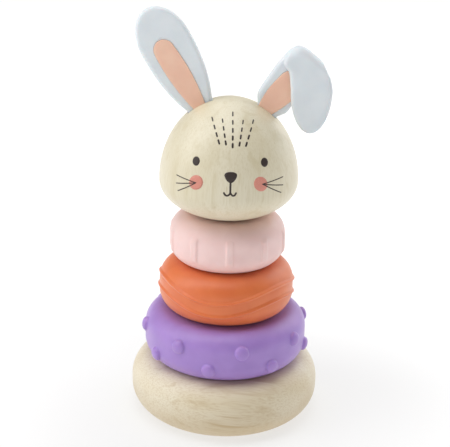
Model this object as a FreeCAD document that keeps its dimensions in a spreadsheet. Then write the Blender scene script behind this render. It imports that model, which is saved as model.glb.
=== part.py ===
"""Stacking ring toy: a wooden base and post, three silicone rings and a rabbit head.

Millimetres, +Z up. The origin is the middle of the base's underside, and the rabbit faces -Y.
Every size is a cell of the "sizes" spreadsheet, and the features are bound to those cells.
"""

import FreeCAD, Part
import math
import os

import Sketcher

Vector = FreeCAD.Vector

SIZES = {
    # turned wooden base
    "base_radius": 45,
    "base_thickness": 27,
    "base_edge_radius": 12,
    "post_socket_depth": 15,
    "counterbore_radius": 4.6,
    "counterbore_depth": 2.5,
    # dowel that everything slides onto
    "post_radius": 9,
    "post_length": 114,
    "post_tip_round": 5,
    "glue_gap": 0.05,
    # countersunk screw that holds the post from underneath
    "screw_head_radius": 4,
    "screw_head_height": 2.2,
    "screw_shank_radius": 2,
    "screw_length": 24,
    "screw_tip_length": 3,
    "screw_clearance": 0.1,
    "cross_recess_width": 1.2,
    "cross_recess_length": 4.4,
    "cross_recess_depth": 1.2,
    # silicone rings, all with the same bore
    "ring_bore_radius": 10.5,
    "ring_bore_round": 3,
    "purple_radius": 38.5,
    "purple_thickness": 24,
    "purple_edge_radius": 8.8,
    "orange_radius": 31.7,
    "orange_thickness": 24,
    "orange_edge_radius": 9.5,
    "pink_radius": 27,
    "pink_thickness": 23,
    "pink_edge_radius": 9,
    # bumps of the purple ring: two rows, each bump the cap of a ball
    "bump_count": 8,
    "bump_ball_radius": 4,
    "bump_height": 1.7,
    "bump_row_offset": 4.4,
    "bump_upper_angle": -78.3,
    "bump_lower_angle": -55.8,
    # upright ribs of the pink ring
    "rib_count": 10,
    "rib_width": 2.8,
    "rib_height": 0.8,
    "rib_half_length": 6.4,
    "rib_taper": 2,
    "rib_root": 2,
    "rib_angle": -15.5,
    # wooden head: half an ellipsoid above its widest line, a cut-off flatter one below
    "head_radius": 32,
    "dome_height": 38,
    "jaw_semi_axis": 17.8,
    "jaw_height": 16.5,
    "head_bore_radius": 9.5,
    "head_bore_depth": 30,
    "head_bore_round": 1.5,
    # ears: both are silicone plates of one thickness, standing in slots in the head
    "ear_thickness": 4.2,
    "ear_rim_round": 1.6,
    "ear_tab_depth": 9,
    "slot_clearance": 0.1,
    "lining_thickness": 1.2,
    "lining_proud": 0.3,
    "lining_gap": 0.1,
    # upright ear
    "upright_root_x": -13.9,
    "upright_root_z": 148.7,
    "upright_lean": 29.5,
    "upright_tab_half_width": 6.4,
    "upright_half_width": 12,
    "upright_shoulder": 35.8,
    "upright_side_radius": 101,
    "upright_lining_shift": -0.8,
    "upright_lining_root": 3.5,
    "upright_lining_half_width": 5.5,
    "upright_lining_shoulder": 28.6,
    "upright_lining_side_radius": 90,
    "upright_lining_lean": 3.4,
    # folded ear: a stem that leans the other way, and a flap hanging in front of it
    "folded_root_x": 16.8,
    "folded_root_z": 147.1,
    "folded_lean": -33,
    "folded_tab_half_width": 5.2,
    "folded_side_radius": 42,
    "fold_inner_radius": 0.6,
    "fold_slope": -25,
    "fold_half_length": 7,
    "fold_centre_x": 32.6,
    "fold_centre_z": 170.2,
    "flap_left_x": 26,
    "flap_right_x": 44.6,
    "flap_belly_z": 152,
    "flap_tip_x": 36.3,
    "flap_tip_z": 137.5,
    "flap_left_round": 13.5,
    "flap_right_round": 13,
    "flap_side_radius": 26,
    "folded_lining_root": 3,
    "folded_lining_half_width": 4.8,
    "folded_lining_length": 21,
}

# the rings stand on the base and on each other, and the head stands on them
PURPLE_BOTTOM = "sizes.base_thickness"
ORANGE_BOTTOM = PURPLE_BOTTOM + " + sizes.purple_thickness"
PINK_BOTTOM = ORANGE_BOTTOM + " + sizes.orange_thickness"
HEAD_BOTTOM = PINK_BOTTOM + " + sizes.pink_thickness"

LEAST_CUT = 0.01  # a pocket or groove that removes less than this, in mm3, has missed
NEAR = 1e-4  # how closely an edge's place is compared, in mm


def make_sheet(document):
    """Write the driving dimensions into the spreadsheet, one aliased cell each."""
    sheet = document.addObject("Spreadsheet::Sheet", "sizes")
    for row, (alias, value) in enumerate(SIZES.items(), start=1):
        sheet.set("A%d" % row, alias)
        sheet.set("B%d" % row, str(value))
        sheet.setAlias("B%d" % row, alias)
    document.recompute()
    return sheet


def make_body(document, name):
    body = document.addObject("PartDesign::Body", name)
    body.Label = name
    return body


def origin_item(body, role):
    """One of the body's own origin planes or axes, such as XY_Plane or Z_Axis."""
    for item in body.Origin.OriginFeatures:
        if item.Role == role:
            return item
    raise RuntimeError("no origin feature " + role)


def bind(item, **expressions):
    """Bind properties to the spreadsheet; a double underscore in a key stands for a dot."""
    for path, expression in expressions.items():
        item.setExpression(path.replace("__", "."), expression)


def add_sketch(body, name, role="XY_Plane"):
    sketch = body.newObject("Sketcher::SketchObject", name)
    sketch.AttachmentSupport = (origin_item(body, role), [""])
    sketch.MapMode = "FlatFace"
    return sketch


def lift_sketch(sketch, height):
    bind(sketch, AttachmentOffset__Base__z=height)


def add_circle(sketch, radius):
    """A circle about the sketch's origin, its radius bound to an expression."""
    size = float(sketch.evalExpression(radius))
    circle = sketch.addGeometry(Part.Circle(Vector(0, 0, 0), Vector(0, 0, 1), size))
    sketch.addConstraint(Sketcher.Constraint("Coincident", circle, 3, -1, 1))
    index = sketch.addConstraint(Sketcher.Constraint("Radius", circle, size))
    sketch.setExpression("Constraints[%d]" % index, radius)


def add_outline(sketch, corners):
    """A closed anticlockwise outline.

    Each corner is (across, along, radius): expressions for its place, and for the radius of
    the outward-bulging arc that runs from it to the next corner, or None for a straight side.
    """
    places = []
    for across, along, radius in corners:
        places.append(Vector(float(sketch.evalExpression(across)), float(sketch.evalExpression(along)), 0))
    sides = []
    for index, (_, _, radius) in enumerate(corners):
        first = places[index]
        last = places[(index + 1) % len(places)]
        if radius is None:
            sides.append(sketch.addGeometry(Part.LineSegment(first, last)))
            continue
        size = float(sketch.evalExpression(radius))
        chord = last - first
        half = min(chord.Length / 2, size)
        sagitta = size - math.sqrt(size * size - half * half)
        outward = Vector(chord.y, -chord.x, 0).normalize()
        middle = (first + last) * 0.5 + outward * sagitta
        sides.append(sketch.addGeometry(Part.Arc(first, middle, last)))
    for index, (across, along, radius) in enumerate(corners):
        side = sides[index]
        following = sides[(index + 1) % len(sides)]
        sketch.addConstraint(Sketcher.Constraint("Coincident", side, 2, following, 1))
        wanted = [("DistanceX", across, places[index].x), ("DistanceY", along, places[index].y)]
        for kind, expression, value in wanted:
            number = sketch.addConstraint(Sketcher.Constraint(kind, side, 1, value))
            sketch.setExpression("Constraints[%d]" % number, expression)
        if radius is not None:
            size = float(sketch.evalExpression(radius))
            number = sketch.addConstraint(Sketcher.Constraint("Radius", side, size))
            sketch.setExpression("Constraints[%d]" % number, radius)


def pad(body, sketch, length, name, midplane=False):
    feature = body.newObject("PartDesign::Pad", name)
    feature.Profile = sketch
    feature.Midplane = midplane
    bind(feature, Length=length)
    return feature


def pocket(body, sketch, name, length, reversed_way=False, midplane=False):
    """A pocket of the given depth. It must remove material, so the volume is compared."""
    document = body.Document
    document.recompute()
    before = body.Shape.Volume
    feature = body.newObject("PartDesign::Pocket", name)
    feature.Profile = sketch
    feature.Reversed = reversed_way
    feature.Midplane = midplane
    bind(feature, Length=length)
    document.recompute()
    if body.Shape.Volume > before - LEAST_CUT:
        raise RuntimeError(name + " removed nothing")
    return feature


def circle_edges(feature, radius, height):
    """Names of the round edges of a radius that lie flat at a height."""
    names = []
    for number, edge in enumerate(feature.Shape.Edges, start=1):
        if edge.Degenerated or not isinstance(edge.Curve, Part.Circle):
            continue
        curve = edge.Curve
        if abs(curve.Radius - radius) < NEAR and abs(curve.Center.z - height) < NEAR:
            names.append("Edge%d" % number)
    return names


def fillet(body, feature, edges, radius, name):
    rounded = body.newObject("PartDesign::Fillet", name)
    rounded.Base = (feature, edges)
    bind(rounded, Radius=radius)
    body.Document.recompute()
    return rounded


def polar_pattern(body, features, count, name):
    pattern = body.newObject("PartDesign::PolarPattern", name)
    pattern.Originals = features
    pattern.Axis = (origin_item(body, "Z_Axis"), [""])
    pattern.Angle = 360
    bind(pattern, Occurrences=count)
    body.Tip = pattern
    body.Document.recompute()


def make_base(document, size):
    body = make_body(document, "base")
    profile = add_sketch(body, "base_profile")
    add_circle(profile, "sizes.base_radius")
    disc = pad(body, profile, "sizes.base_thickness", "base_disc")
    document.recompute()
    edges = circle_edges(disc, size.base_radius, 0)
    edges += circle_edges(disc, size.base_radius, size.base_thickness)
    fillet(body, disc, edges, "sizes.base_edge_radius", "base_rounded")

    socket = add_sketch(body, "socket_profile")
    lift_sketch(socket, "sizes.base_thickness")
    add_circle(socket, "sizes.post_radius + sizes.glue_gap")
    pocket(body, socket, "post_socket", "sizes.post_socket_depth")

    counterbore = add_sketch(body, "counterbore_profile")
    add_circle(counterbore, "sizes.counterbore_radius")
    pocket(body, counterbore, "counterbore", "sizes.counterbore_depth", reversed_way=True)

    add_screw_hole(body, "screw_hole", "sizes.screw_clearance")
    return body


def screw_corners(extra):
    """Half outline of the screw, from its head up to its tip, made larger by extra."""
    head = "sizes.screw_head_radius + %s" % extra
    shank = "sizes.screw_shank_radius + %s" % extra
    foot = "sizes.counterbore_depth"
    neck = "sizes.counterbore_depth + sizes.screw_head_height"
    shoulder = "sizes.counterbore_depth + sizes.screw_length - sizes.screw_tip_length"
    tip = "sizes.counterbore_depth + sizes.screw_length + %s" % extra
    corners = [("0", foot), (head, foot), (shank, neck), (shank, shoulder), ("0", tip)]
    return [(across, up, None) for across, up in corners]


def add_screw_hole(body, name, extra):
    """Turn the screw's outline, made larger by extra, out of the body."""
    document = body.Document
    document.recompute()
    before = body.Shape.Volume
    sketch = add_sketch(body, name + "_profile", "XZ_Plane")
    add_outline(sketch, screw_corners(extra))
    groove = body.newObject("PartDesign::Groove", name)
    groove.Profile = sketch
    groove.ReferenceAxis = (origin_item(body, "Z_Axis"), [""])
    groove.Angle = 360
    document.recompute()
    if body.Shape.Volume > before - LEAST_CUT:
        raise RuntimeError(name + " removed nothing")


def make_post(document, size):
    body = make_body(document, "post")
    profile = add_sketch(body, "post_profile")
    lift_sketch(profile, "sizes.base_thickness - sizes.post_socket_depth")
    add_circle(profile, "sizes.post_radius")
    dowel = pad(body, profile, "sizes.post_length", "dowel")
    document.recompute()
    top = size.base_thickness - size.post_socket_depth + size.post_length
    fillet(body, dowel, circle_edges(dowel, size.post_radius, top), "sizes.post_tip_round", "rounded_tip")
    add_screw_hole(body, "pilot_hole", "sizes.glue_gap")
    return body


def make_screw(document):
    body = make_body(document, "base_screw")
    profile = add_sketch(body, "screw_profile", "XZ_Plane")
    add_outline(profile, screw_corners("0"))
    turned = body.newObject("PartDesign::Revolution", "screw_turned")
    turned.Profile = profile
    turned.ReferenceAxis = (origin_item(body, "Z_Axis"), [""])
    turned.Angle = 360
    half_long = "sizes.cross_recess_length / 2"
    half_wide = "sizes.cross_recess_width / 2"
    for name, across, along in (("recess_x", half_long, half_wide), ("recess_y", half_wide, half_long)):
        bar = add_sketch(body, name + "_profile")
        lift_sketch(bar, "sizes.counterbore_depth")
        corners = [("-" + across, "-" + along), (across, "-" + along), (across, along), ("-" + across, along)]
        add_outline(bar, [(x, y, None) for x, y in corners])
        pocket(body, bar, name, "sizes.cross_recess_depth", reversed_way=True)
    return body


def make_ring(document, size, colour, stack_height):
    """A plain silicone ring from z = 0, rounded outside and at the mouths of its bore."""
    body = make_body(document, colour + "_ring")
    radius = getattr(size, colour + "_radius")
    thickness = getattr(size, colour + "_thickness")
    profile = add_sketch(body, colour + "_profile")
    add_circle(profile, "sizes.%s_radius" % colour)
    add_circle(profile, "sizes.ring_bore_radius")
    blank = pad(body, profile, "sizes.%s_thickness" % colour, colour + "_blank")
    document.recompute()
    outer = circle_edges(blank, radius, 0) + circle_edges(blank, radius, thickness)
    rounded = fillet(body, blank, outer, "sizes.%s_edge_radius" % colour, colour + "_rounded")
    inner = circle_edges(rounded, size.ring_bore_radius, 0)
    inner += circle_edges(rounded, size.ring_bore_radius, thickness)
    fillet(body, rounded, inner, "sizes.ring_bore_round", colour + "_bore_rounded")
    bind(body, Placement__Base__z=stack_height)
    return body


def add_bumps(body):
    """Two staggered rows of low round bumps about the purple ring."""
    reach = "(sizes.purple_radius + sizes.bump_height - sizes.bump_ball_radius)"
    for row, sign in (("upper", "+"), ("lower", "-")):
        ball = body.newObject("PartDesign::AdditiveSphere", row + "_bump")
        angle = "sizes.bump_%s_angle" % row
        bind(
            ball,
            Radius="sizes.bump_ball_radius",
            Placement__Base__x="%s * cos(%s)" % (reach, angle),
            Placement__Base__y="%s * sin(%s)" % (reach, angle),
            Placement__Base__z="sizes.purple_thickness / 2 %s sizes.bump_row_offset" % sign,
        )
        body.Document.recompute()
        polar_pattern(body, [ball], "sizes.bump_count", row + "_bumps")


def add_ribs(body):
    """Flat-topped upright ribs about the pink ring, tapered at both ends."""
    sketch = add_sketch(body, "rib_profile", "XZ_Plane")
    middle = "sizes.pink_thickness / 2"
    inner = "sizes.pink_radius - sizes.rib_root"
    outer = "sizes.pink_radius + sizes.rib_height"
    full = "sizes.rib_half_length"
    flat = "(sizes.rib_half_length - sizes.rib_taper)"
    add_outline(
        sketch,
        [
            (inner, "%s - %s" % (middle, full), None),
            (outer, "%s - %s" % (middle, flat), None),
            (outer, "%s + %s" % (middle, flat), None),
            (inner, "%s + %s" % (middle, full), None),
        ],
    )
    sketch.AttachmentOffset = FreeCAD.Placement(Vector(0, 0, 0), FreeCAD.Rotation(Vector(0, 1, 0), 1))
    bind(sketch, AttachmentOffset__Rotation__Angle="sizes.rib_angle")
    rib = pad(body, sketch, "sizes.rib_width", "rib", midplane=True)
    body.Document.recompute()
    polar_pattern(body, [rib], "sizes.rib_count", "ribs")


def attach_on_lean(sketch, side, depth, extra_lean="0"):
    """Put a sketch of the XZ plane at an ear's root, leaning with the ear, at a depth forward."""
    sketch.AttachmentOffset = FreeCAD.Placement(Vector(0, 0, 0), FreeCAD.Rotation(Vector(0, 0, 1), 1))
    bind(
        sketch,
        AttachmentOffset__Base__x="sizes.%s_root_x" % side,
        AttachmentOffset__Base__y="sizes.%s_root_z" % side,
        AttachmentOffset__Base__z=depth,
        AttachmentOffset__Rotation__Angle="sizes.%s_lean + %s" % (side, extra_lean),
    )


def make_head(document, size):
    """The head: dome, jaw, blind bore for the post, and one slot for each ear."""
    body = make_body(document, "head")
    equator = HEAD_BOTTOM + " + sizes.jaw_height"
    dome = body.newObject("PartDesign::AdditiveEllipsoid", "dome")
    bind(dome, Radius1="sizes.dome_height", Radius2="sizes.head_radius", Radius3="sizes.head_radius")
    bind(dome, Angle1="0", Angle2="90", Angle3="360", Placement__Base__z=equator)
    document.recompute()
    jaw = body.newObject("PartDesign::AdditiveEllipsoid", "jaw")
    bind(jaw, Radius1="sizes.jaw_semi_axis", Radius2="sizes.head_radius", Radius3="sizes.head_radius")
    bind(jaw, Angle1="-asin(sizes.jaw_height / sizes.jaw_semi_axis)", Angle2="0", Angle3="360")
    bind(jaw, Placement__Base__z=equator)
    document.recompute()

    bore = add_sketch(body, "bore_profile")
    lift_sketch(bore, HEAD_BOTTOM)
    add_circle(bore, "sizes.head_bore_radius")
    bored = pocket(body, bore, "head_bore", "sizes.head_bore_depth", reversed_way=True)
    height = float(bore.evalExpression(HEAD_BOTTOM))
    mouth = circle_edges(bored, size.head_bore_radius, height)
    fillet(body, bored, mouth, "sizes.head_bore_round", "bore_mouth")

    for side in ("upright", "folded"):
        slot = add_sketch(body, side + "_slot_profile", "XZ_Plane")
        attach_on_lean(slot, side, "0")
        reach = "sizes.%s_tab_half_width + sizes.slot_clearance" % side
        foot = "-(sizes.ear_tab_depth + sizes.slot_clearance)"
        crown = "sizes.ear_tab_depth"
        left = "-(%s)" % reach
        corners = [(left, foot, None), (reach, foot, None), (reach, crown, None), (left, crown, None)]
        add_outline(slot, corners)
        wide = "sizes.ear_thickness + 2 * (sizes.lining_proud + sizes.slot_clearance)"
        pocket(body, slot, side + "_slot", wide, midplane=True)
    return body


def rim_edges(feature, half_thickness):
    """Names of the outline edges on a plate's front and back faces."""
    names = []
    for number, edge in enumerate(feature.Shape.Edges, start=1):
        box = edge.BoundBox
        flat = box.YLength < NEAR
        if flat and abs(abs(box.YMin) - half_thickness) < NEAR:
            names.append("Edge%d" % number)
    return names


def upright_lining_corners(grow):
    """Outline of the upright ear's lining, grown by an expression."""
    root = "sizes.upright_lining_root + %s" % grow
    shoulder = "sizes.upright_lining_half_width + %s" % grow
    shoulder_height = "sizes.upright_lining_shoulder"
    side = "sizes.upright_lining_side_radius"
    shift = "sizes.upright_lining_shift"
    foot = "-sizes.ear_tab_depth / 2 - %s" % grow
    return [
        ("%s - (%s)" % (shift, root), foot, None),
        ("%s + %s" % (shift, root), foot, side),
        ("%s + %s" % (shift, shoulder), shoulder_height, shoulder),
        (shift, "%s + %s" % (shoulder_height, shoulder), shoulder),
        ("%s - (%s)" % (shift, shoulder), shoulder_height, side),
    ]


def folded_lining_corners(grow):
    """Outline of the lining on the folded ear's stem, grown by an expression."""
    root = "sizes.folded_lining_root + %s" % grow
    wide = "sizes.folded_lining_half_width + %s" % grow
    foot = "-sizes.ear_tab_depth / 2 - %s" % grow
    crown = "sizes.folded_lining_length + %s" % grow
    corners = [("-(%s)" % root, foot), (root, foot), (wide, crown), ("-(%s)" % wide, crown)]
    return [(across, up, None) for across, up in corners]


def cut_lining_recess(body, side, corners, lean):
    """A shallow recess in the front of an ear that its lining sits in."""
    recess = add_sketch(body, side + "_recess_profile", "XZ_Plane")
    attach_on_lean(recess, side, "sizes.ear_thickness / 2", lean)
    add_outline(recess, corners)
    depth = "sizes.lining_thickness - sizes.lining_proud"
    pocket(body, recess, side + "_recess", depth)


def make_lining(document, side, corners, lean):
    body = make_body(document, side + "_ear_lining")
    profile = add_sketch(body, side + "_lining_profile", "XZ_Plane")
    floor = "sizes.ear_thickness / 2 + sizes.lining_proud - sizes.lining_thickness + sizes.glue_gap"
    attach_on_lean(profile, side, floor, lean)
    add_outline(profile, corners)
    pad(body, profile, "sizes.lining_thickness - sizes.glue_gap", side + "_lining_plate")
    document.recompute()
    return body


def make_upright_ear(document, size):
    body = make_body(document, "upright_ear")
    profile = add_sketch(body, "upright_profile", "XZ_Plane")
    attach_on_lean(profile, "upright", "0")
    tab = "sizes.upright_tab_half_width"
    wide = "sizes.upright_half_width"
    foot = "-sizes.ear_tab_depth"
    shoulder = "sizes.upright_shoulder"
    side = "sizes.upright_side_radius"
    add_outline(
        profile,
        [
            ("-" + tab, foot, None),
            (tab, foot, None),
            (tab, "0", side),
            (wide, shoulder, wide),
            ("0", shoulder + " + " + wide, wide),
            ("-" + wide, shoulder, side),
            ("-" + tab, "0", None),
        ],
    )
    plate = pad(body, profile, "sizes.ear_thickness", "upright_plate", midplane=True)
    document.recompute()
    fillet(body, plate, rim_edges(plate, size.ear_thickness / 2), "sizes.ear_rim_round", "upright_rim")
    recess = upright_lining_corners("sizes.lining_gap")
    cut_lining_recess(body, "upright", recess, "sizes.upright_lining_lean")
    return body


def make_folded_ear(document, size):
    """The stem, a half tube along the fold, and the flap, joined into one solid."""
    body = make_body(document, "folded_ear")
    slope = math.radians(size.fold_slope)
    along = Vector(math.cos(slope), 0, math.sin(slope))
    outward = Vector(-math.sin(slope), 0, math.cos(slope))
    fold_y = -(size.ear_thickness / 2 + size.fold_inner_radius)
    centre = Vector(size.fold_centre_x, fold_y, size.fold_centre_z)
    fold_left = centre - along * size.fold_half_length
    fold_right = centre + along * size.fold_half_length

    # the stem stands in its slot's frame, so the ends of the fold are turned into that frame
    lean = math.radians(size.folded_lean)
    across_way = Vector(math.cos(lean), 0, math.sin(lean))
    up_way = Vector(-math.sin(lean), 0, math.cos(lean))
    root = Vector(size.folded_root_x, fold_y, size.folded_root_z)
    stem_left = fold_left - root
    stem_right = fold_right - root
    tab = "sizes.folded_tab_half_width"
    foot = "-sizes.ear_tab_depth"
    side = "sizes.folded_side_radius"
    profile = add_sketch(body, "stem_profile", "XZ_Plane")
    attach_on_lean(profile, "folded", "0")
    add_outline(
        profile,
        [
            ("-" + tab, foot, None),
            (tab, foot, None),
            (tab, "0", side),
            (str(stem_right.dot(across_way)), str(stem_right.dot(up_way)), None),
            (str(stem_left.dot(across_way)), str(stem_left.dot(up_way)), side),
            ("-" + tab, "0", None),
        ],
    )
    pad(body, profile, "sizes.ear_thickness", "stem_plate", midplane=True)
    document.recompute()

    # half a tube round the fold: its own Z runs along the fold, and it bulges outward
    turn = FreeCAD.Rotation(Vector(0, 1, 0), outward, along, "ZYX")
    outside = body.newObject("PartDesign::AdditiveCylinder", "fold_outside")
    bind(outside, Radius="sizes.fold_inner_radius + sizes.ear_thickness")
    bind(outside, Height="2 * sizes.fold_half_length", Angle="180")
    outside.Placement = FreeCAD.Placement(fold_left, turn)
    document.recompute()
    inside = body.newObject("PartDesign::SubtractiveCylinder", "fold_inside")
    bind(inside, Radius="sizes.fold_inner_radius", Height="2 * sizes.fold_half_length", Angle="180")
    inside.Placement = FreeCAD.Placement(fold_left, turn)
    document.recompute()

    flap = add_sketch(body, "flap_profile", "XZ_Plane")
    lift_sketch(flap, "sizes.ear_thickness + 2 * sizes.fold_inner_radius")
    belly = "sizes.flap_belly_z"
    add_outline(
        flap,
        [
            (str(fold_left.x), str(fold_left.z), None),
            ("sizes.flap_left_x", belly, "sizes.flap_left_round"),
            ("sizes.flap_tip_x", "sizes.flap_tip_z", "sizes.flap_right_round"),
            ("sizes.flap_right_x", belly, "sizes.flap_side_radius"),
            (str(fold_right.x), str(fold_right.z), None),
        ],
    )
    pad(body, flap, "sizes.ear_thickness", "flap_plate", midplane=True)
    document.recompute()
    cut_lining_recess(body, "folded", folded_lining_corners("sizes.lining_gap"), "0")
    return body


def check_and_export(document, bodies):
    document.recompute()
    for item in document.Objects:
        if "Invalid" in item.State or "Error" in item.State:
            raise RuntimeError("%s failed: %s" % (item.Label, item.State))
    os.makedirs("parts", exist_ok=True)
    for body in bodies:
        shape = body.Shape
        if shape.isNull() or not shape.isValid() or len(shape.Solids) != 1:
            raise RuntimeError("%s isn't one valid solid" % body.Label)
        shape.exportStep("parts/%s.step" % body.Label)
        box = shape.BoundBox
        limits = (box.XMin, box.XMax, box.YMin, box.YMax, box.ZMin, box.ZMax)
        print("%-20s volume %9.1f mm3" % (body.Label, shape.Volume), end="")
        print("  x %6.1f..%6.1f  y %6.1f..%6.1f  z %6.1f..%6.1f" % limits)


def main():
    document = FreeCAD.newDocument("stacking_toy")
    size = make_sheet(document)
    bodies = [make_base(document, size), make_post(document, size), make_screw(document)]
    purple = make_ring(document, size, "purple", PURPLE_BOTTOM)
    add_bumps(purple)
    orange = make_ring(document, size, "orange", ORANGE_BOTTOM)
    pink = make_ring(document, size, "pink", PINK_BOTTOM)
    add_ribs(pink)
    bodies += [purple, orange, pink, make_head(document, size)]
    bodies.append(make_upright_ear(document, size))
    bodies.append(make_lining(document, "upright", upright_lining_corners("0"), "sizes.upright_lining_lean"))
    bodies.append(make_folded_ear(document, size))
    bodies.append(make_lining(document, "folded", folded_lining_corners("0"), "0"))
    check_and_export(document, bodies)


main()
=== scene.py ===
"""Looks of the stacking rabbit toy: silicone rings and ears, a printed face, wood, light and camera.

Lengths are in millimetres until a mesh or a place is handed to Blender, which works in metres.
Turns about the post are in degrees, from the rabbit's front (-Y) towards +X.
"""

import math

import bmesh
import bpy
import numpy as np
from mathutils import Matrix, Vector


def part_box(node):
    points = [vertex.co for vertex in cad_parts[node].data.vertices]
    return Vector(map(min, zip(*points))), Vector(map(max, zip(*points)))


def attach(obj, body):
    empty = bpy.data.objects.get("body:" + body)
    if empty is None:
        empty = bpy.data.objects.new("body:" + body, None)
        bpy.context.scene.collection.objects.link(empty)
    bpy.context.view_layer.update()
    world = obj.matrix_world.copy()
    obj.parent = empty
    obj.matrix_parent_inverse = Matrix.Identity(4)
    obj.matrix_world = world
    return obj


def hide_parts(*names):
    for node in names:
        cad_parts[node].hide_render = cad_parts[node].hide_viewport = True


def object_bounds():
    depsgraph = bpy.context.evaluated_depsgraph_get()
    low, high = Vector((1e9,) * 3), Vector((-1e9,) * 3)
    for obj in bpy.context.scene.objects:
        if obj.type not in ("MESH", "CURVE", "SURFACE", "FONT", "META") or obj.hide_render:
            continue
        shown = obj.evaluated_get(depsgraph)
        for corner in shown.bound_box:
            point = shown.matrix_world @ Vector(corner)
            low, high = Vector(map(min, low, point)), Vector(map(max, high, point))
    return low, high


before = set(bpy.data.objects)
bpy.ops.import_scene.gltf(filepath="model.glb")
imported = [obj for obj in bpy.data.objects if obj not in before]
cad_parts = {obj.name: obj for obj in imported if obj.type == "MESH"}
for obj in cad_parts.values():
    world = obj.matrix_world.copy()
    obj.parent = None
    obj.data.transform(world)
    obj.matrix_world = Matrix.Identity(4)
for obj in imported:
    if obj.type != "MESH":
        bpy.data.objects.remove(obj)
cad_low, cad_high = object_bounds()

MM = 0.001

# points this near are one point, and edges this short are dropped
SAME_POINT = 0.001
NO_WIDTH = 0.0005


# ---------------------------------------------------------------- meshes


def box_mm(node):
    """Lowest and highest corner of a CAD node, in millimetres."""
    low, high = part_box(node)
    return np.array(low) / MM, np.array(high) / MM


def make_piece(name, points, faces, material):
    """A smooth closed mesh from points in millimetres, without doubled points or flat slivers."""
    mesh = bpy.data.meshes.new(name)
    mesh.from_pydata((np.asarray(points, float) * MM).tolist(), [], faces)
    editor = bmesh.new()
    editor.from_mesh(mesh)
    bmesh.ops.remove_doubles(editor, verts=editor.verts, dist=SAME_POINT * MM)
    bmesh.ops.dissolve_degenerate(editor, edges=editor.edges, dist=NO_WIDTH * MM)
    bmesh.ops.recalc_face_normals(editor, faces=editor.faces)
    editor.to_mesh(mesh)
    editor.free()
    mesh.shade_smooth()
    mesh.materials.append(material)
    piece = bpy.data.objects.new(name, mesh)
    bpy.context.scene.collection.objects.link(piece)
    return piece


def join_loops(loops, closed=False):
    """Points and faces of a skin over loops of equal length; each loop runs right round."""
    count = len(loops[0])
    points = np.concatenate(loops)
    faces = []
    for row in range(len(loops) if closed else len(loops) - 1):
        here = row * count
        there = (row + 1) % len(loops) * count
        for i in range(count):
            j = (i + 1) % count
            faces.append((here + i, here + j, there + j, there + i))
    return points, faces


def smooth_step(low, high, value):
    """0 below low and 1 above high, with a soft rise between them."""
    share = np.clip((value - low) / (high - low), 0, 1)
    return share * share * (3 - 2 * share)


def arc(centre, radius, start, end, step):
    """Points (across, up) and outward normals along an arc, angles in degrees."""
    count = max(2, int(abs(math.radians(end - start)) * radius / step))
    turn = np.radians(np.linspace(start, end, count, endpoint=False))
    normal = np.stack([np.cos(turn), np.sin(turn)], 1)
    return np.array(centre) + radius * normal, normal


def line(start, end, normal, step):
    """Points from start towards end, without the end itself, and their normals."""
    start, end = np.array(start, float), np.array(end, float)
    count = max(1, int(np.linalg.norm(end - start) / step))
    share = np.linspace(0, 1, count, endpoint=False)[:, None]
    return start + share * (end - start), np.tile(normal, (count, 1))


# ---------------------------------------------------------------- materials


def linear(red, green, blue):
    """A colour given as 0-255 screen values, as the linear values that shaders take."""
    values = [v / 255 for v in (red, green, blue)]
    return tuple(v / 12.92 if v <= 0.04045 else ((v + 0.055) / 1.055) ** 2.4 for v in values) + (1,)


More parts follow.
